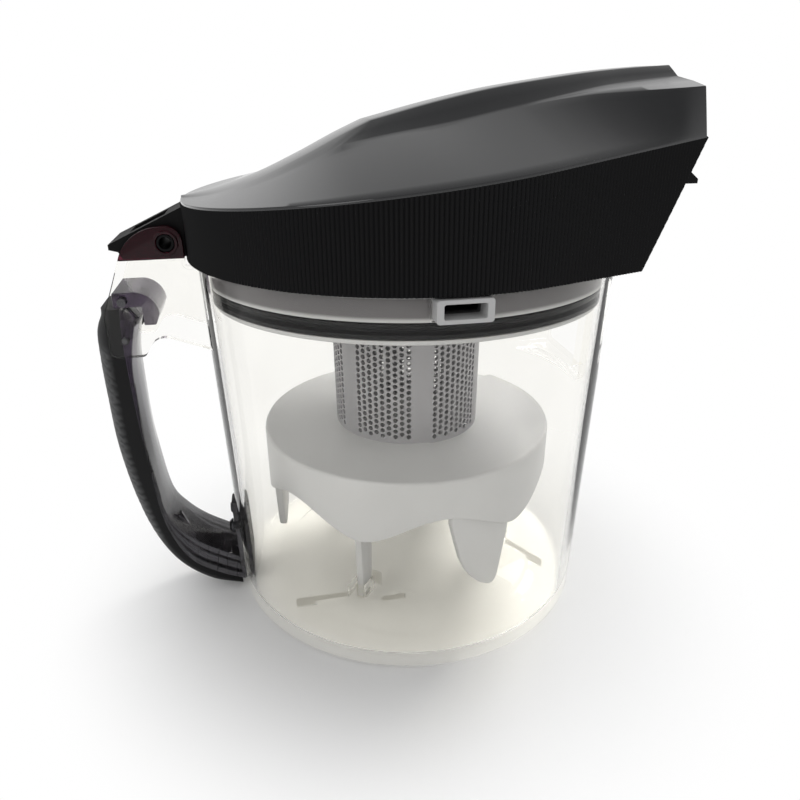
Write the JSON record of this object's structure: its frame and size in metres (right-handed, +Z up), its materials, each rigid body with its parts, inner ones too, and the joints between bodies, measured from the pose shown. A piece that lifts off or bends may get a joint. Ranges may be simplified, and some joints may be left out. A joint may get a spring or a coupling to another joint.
{
  "type": "cyclone dust bin",
  "caption": "Clear drafted dust cup with a loop handle, a perforated cyclone insert and a hinged wedge lid that holds the filter.",
  "frame": {"origin": "centre of the cup's base, on the surface it stands on", "axes": "+Z up along the cup, +X towards the nose of the lid, handle at -X"},
  "size_m": [0.2211, 0.168, 0.2093],
  "materials": {
    "clear_plastic": "clear moulded plastic, polished",
    "smoked_plastic": "smoked translucent plastic",
    "black_plastic": "fine matte black",
    "gloss_cover": "polished dark grey",
    "light_grey_plastic": "satin light grey",
    "mid_grey_plastic": "satin grey",
    "black_rubber": "soft black rubber",
    "steel": "bright zinc",
    "filter_paper": "pleated paper",
    "filter_foam": "open foam"
  },
  "bodies": {
    "bin": {"dust_cup": "clear_plastic", "handle_frame": "smoked_plastic", "handle_grip": "black_plastic", "handle_screws": "steel", "insert_ring": "light_grey_plastic", "side_sockets": "light_grey_plastic", "lip_seal": "black_rubber", "shroud": "mid_grey_plastic", "dust_skirt": "light_grey_plastic", "trigger_pin": "steel", "trigger_spring": "steel"},
    "lid": {"lid_body": "black_plastic", "lid_cover": "gloss_cover", "hinge_pin": "black_plastic", "lid_screws": "steel", "lid_seal": "black_rubber", "throat_seal": "black_rubber", "outlet_seal": "black_rubber", "outlet_grille": "black_plastic", "filter_seal": "black_rubber", "filter_frame": "light_grey_plastic", "foam_filter": "filter_foam", "pleated_filter": "filter_paper"},
    "trigger": {"release_trigger": "smoked_plastic"}
  },
  "joints": [
    {"name": "lid_hinge", "type": "hinge", "parent": "bin", "child": "lid", "pos_m": [-0.0888, 0, 0.1527], "axis": [0, -1, 0], "range_deg": [0, 90]},
    {"name": "trigger_press", "type": "hinge", "parent": "bin", "child": "trigger", "pos_m": [-0.1066, 0, 0.1322], "axis": [0, 1, 0], "range_deg": [0, 10], "stiffness_Nm_per_rad": 0.08, "springref_deg": -5.73, "deforming": ["trigger_spring"]}
  ]
}
